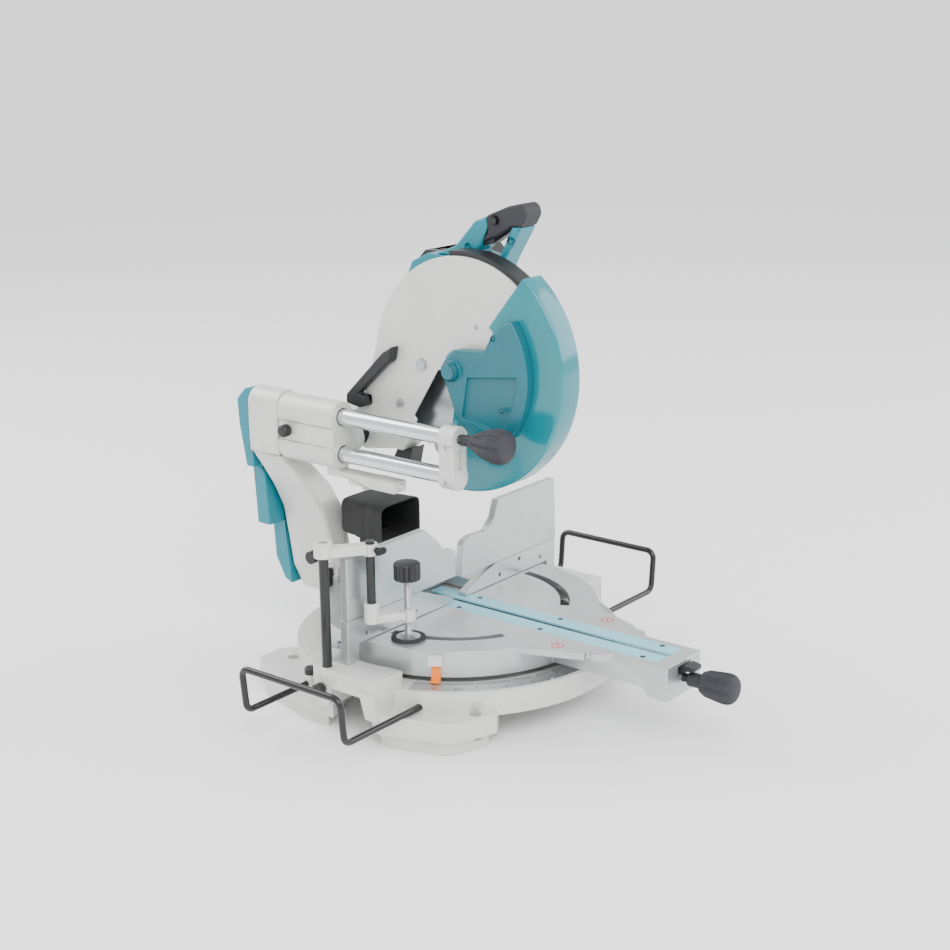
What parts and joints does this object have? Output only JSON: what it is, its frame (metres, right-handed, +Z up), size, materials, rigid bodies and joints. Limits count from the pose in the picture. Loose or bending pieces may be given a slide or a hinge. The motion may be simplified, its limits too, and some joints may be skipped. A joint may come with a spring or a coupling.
{
  "type": "sliding compound mitre saw",
  "caption": "Bench-top sliding mitre saw with turntable, tilting arm on twin rails, chopping head, guarded blade, fences and a clamp.",
  "frame": {"origin": "on the floor under the turntable's mitre axis, at the centre of the four bench holes", "axes": "+X to the operator's right, +Y to the back, +Z up"},
  "size_m": [0.7574, 0.822, 0.717],
  "materials": {
    "casting": "satin light grey",
    "teal_plastic": "satin",
    "guard": "translucent teal",
    "black_plastic": "fine grain",
    "grip": "soft matt",
    "machined": "machined",
    "steel": "bright",
    "rail": "ground and polished",
    "screw": "blackened",
    "kerf": "pale blue",
    "pointer": "orange",
    "copper": "wound",
    "bronze": "sintered",
    "belt": "matt",
    "black_steel": "gloss black",
    "hood": "matt",
    "blade": "ground"
  },
  "bodies": {
    "base": {"base_casting": "casting", "mitre_scale": "machined", "base_screws": "steel", "lower_fence": "machined", "pivot_bolt": "steel", "base_thumb_screws": "black_plastic", "vise_post": "black_steel"},
    "holder_left": {"work_holder_left": "black_steel"},
    "holder_right": {"work_holder_right": "black_steel"},
    "fence_left": {"upper_fence_left": "machined"},
    "fence_right": {"upper_fence_right": "machined"},
    "fence_knob_left": {"fence_clamp_left": "black_plastic"},
    "fence_knob_right": {"fence_clamp_right": "black_plastic"},
    "vise_arm": {"vise_upper_arm": "casting", "vise_rod": "black_steel", "vise_lower_arm": "casting", "vise_wing_screw": "screw"},
    "vise_clamp": {"vise_screw": "black_plastic", "vise_pad": "steel"},
    "turntable": {"turntable": "machined", "kerf_boards": "kerf", "kerf_screws": "screw", "mitre_pointer": "pointer", "bevel_pivot_shaft": "steel", "dust_hood": "hood", "dust_nozzle": "black_plastic"},
    "mitre_knob": {"mitre_grip": "grip"},
    "mitre_lever": {"mitre_lock_lever": "black_plastic"},
    "bevel_arm": {"bevel_arm": "casting", "arm_covers": "teal_plastic", "slide_rails": "rail", "rail_bracket": "casting"},
    "bevel_knob": {"bevel_lock_knob": "grip"},
    "bevel_stop": {"bevel_stop_knob": "black_plastic"},
    "bevel_lever": {"bevel_release_lever": "black_plastic"},
    "carriage": {"carriage": "casting", "linear_bearings": "bronze", "chop_shaft": "steel", "return_spring": "steel", "depth_stop": "casting"},
    "slide_lock": {"slide_lock_knob": "black_plastic"},
    "head_stopper": {"stopper_pin": "black_plastic"},
    "head": {"blade_case": "casting", "case_screws": "steel", "case_trim": "black_plastic", "carry_handle": "black_plastic", "gear_housing": "teal_plastic", "motor_housing": "black_plastic", "drive_belt": "belt", "head_bearings": "bronze", "handle_shell": "teal_plastic", "soft_grip": "grip"},
    "blade": {"saw_blade": "blade", "blade_spindle": "steel", "blade_clamp": "steel"},
    "armature": {"armature": "copper"},
    "guard": {"lower_guard": "guard", "centre_cover": "teal_plastic"},
    "trigger": {"trigger": "black_plastic"},
    "lock_off": {"lock_off_button": "black_plastic"}
  },
  "joints": [
    {"name": "mitre", "type": "hinge", "parent": "base", "child": "turntable", "pos_m": [0, 0, 0.1], "axis": [0, 0, -1], "range_deg": [-60, 60]},
    {"name": "bevel", "type": "hinge", "parent": "turntable", "child": "bevel_arm", "pos_m": [0, 0.23, 0.1246], "axis": [0, -1, 0], "range_deg": [-33, 15]},
    {"name": "slide", "type": "slide", "parent": "bevel_arm", "child": "carriage", "axis": [0, -1, 0], "range_m": [0, 0.18]},
    {"name": "chop", "type": "hinge", "parent": "carriage", "child": "head", "pos_m": [0, 0.158, 0.3635], "axis": [1, 0, 0], "range_deg": [0, 56.5], "stiffness_Nm_per_rad": 16, "springref_deg": -100.27},
    {"name": "guard_lift", "type": "hinge", "parent": "head", "child": "guard", "pos_m": [0, -0.03, 0.485], "axis": [-1, 0, 0], "range_deg": [0, 110.5]},
    {"name": "blade_spin", "type": "hinge", "parent": "head", "child": "blade", "pos_m": [0, -0.03, 0.485], "axis": [1, 0, 0], "continuous": true},
    {"name": "armature_spin", "type": "hinge", "parent": "head", "child": "armature", "pos_m": [0.1, 0.074, 0.582], "axis": [1, 0, 0], "continuous": true},
    {"name": "trigger_pull", "type": "hinge", "parent": "head", "child": "trigger", "pos_m": [0.037, -0.0845, 0.6865], "axis": [1, 0, 0], "range_deg": [0, 4], "stiffness_Nm_per_rad": 1},
    {"name": "lock_off_press", "type": "slide", "parent": "head", "child": "lock_off", "axis": [1, 0, 0], "range_m": [0, 0.003], "stiffness_N_per_m": 300},
    {"name": "holder_left_slide", "type": "slide", "parent": "base", "child": "holder_left", "axis": [1, 0, 0], "range_m": [0, 0.047]},
    {"name": "holder_right_slide", "type": "slide", "parent": "base", "child": "holder_right", "axis": [-1, 0, 0], "range_m": [0, 0.047]},
    {"name": "fence_left_slide", "type": "slide", "parent": "base", "child": "fence_left", "axis": [-1, 0, 0], "range_m": [0, 0.045]},
    {"name": "fence_right_slide", "type": "slide", "parent": "base", "child": "fence_right", "axis": [1, 0, 0], "range_m": [0, 0.045]},
    {"name": "fence_knob_left_turn", "type": "hinge", "parent": "base", "child": "fence_knob_left", "pos_m": [-0.15, 0.02, 0.148], "axis": [0, 1, 0], "range_deg": [-90, 0]},
    {"name": "fence_knob_right_turn", "type": "hinge", "parent": "base", "child": "fence_knob_right", "pos_m": [0.15, 0.02, 0.148], "axis": [0, 1, 0], "range_deg": [-90, 0]},
    {"name": "vise_swing", "type": "hinge", "parent": "base", "child": "vise_arm", "pos_m": [-0.262, 0.024, 0.2], "axis": [0, 0, -1], "range_deg": [0, 100]},
    {"name": "vise_press", "type": "slide", "parent": "vise_arm", "child": "vise_clamp", "axis": [0, 0, 1], "range_m": [0, 0.019]},
    {"name": "mitre_knob_turn", "type": "hinge", "parent": "turntable", "child": "mitre_knob", "pos_m": [0, -0.43, 0.099], "axis": [0, 1, 0], "range_deg": [0, 90]},
    {"name": "mitre_lever_press", "type": "hinge", "parent": "turntable", "child": "mitre_lever", "pos_m": [0, -0.389, 0.1108], "axis": [1, 0, 0], "range_deg": [0, 6], "stiffness_Nm_per_rad": 1},
    {"name": "bevel_knob_turn", "type": "hinge", "parent": "bevel_arm", "child": "bevel_knob", "pos_m": [-0.085, -0.1, 0.4013], "axis": [0, 1, 0], "range_deg": [-90, 0]},
    {"name": "bevel_stop_pull", "type": "slide", "parent": "bevel_arm", "child": "bevel_stop", "axis": [-1, 0, 0], "range_m": [0, 0.008]},
    {"name": "bevel_lever_swing", "type": "hinge", "parent": "bevel_arm", "child": "bevel_lever", "pos_m": [-0.055, 0.214, 0.138], "axis": [-1, 0, 0], "range_deg": [0, 6]},
    {"name": "slide_lock_turn", "type": "hinge", "parent": "carriage", "child": "slide_lock", "pos_m": [-0.11, 0.236, 0.373], "axis": [1, 0, 0], "range_deg": [0, 90]},
    {"name": "head_stopper_pull", "type": "slide", "parent": "carriage", "child": "head_stopper", "axis": [1, 0, 0], "range_m": [0, 0.008]}
  ],
  "couplings": [
    {"joint": "guard_lift", "follows": "chop", "ratio": 1.95},
    {"joint": "armature_spin", "follows": "blade_spin", "ratio": 2.2}
  ]
}
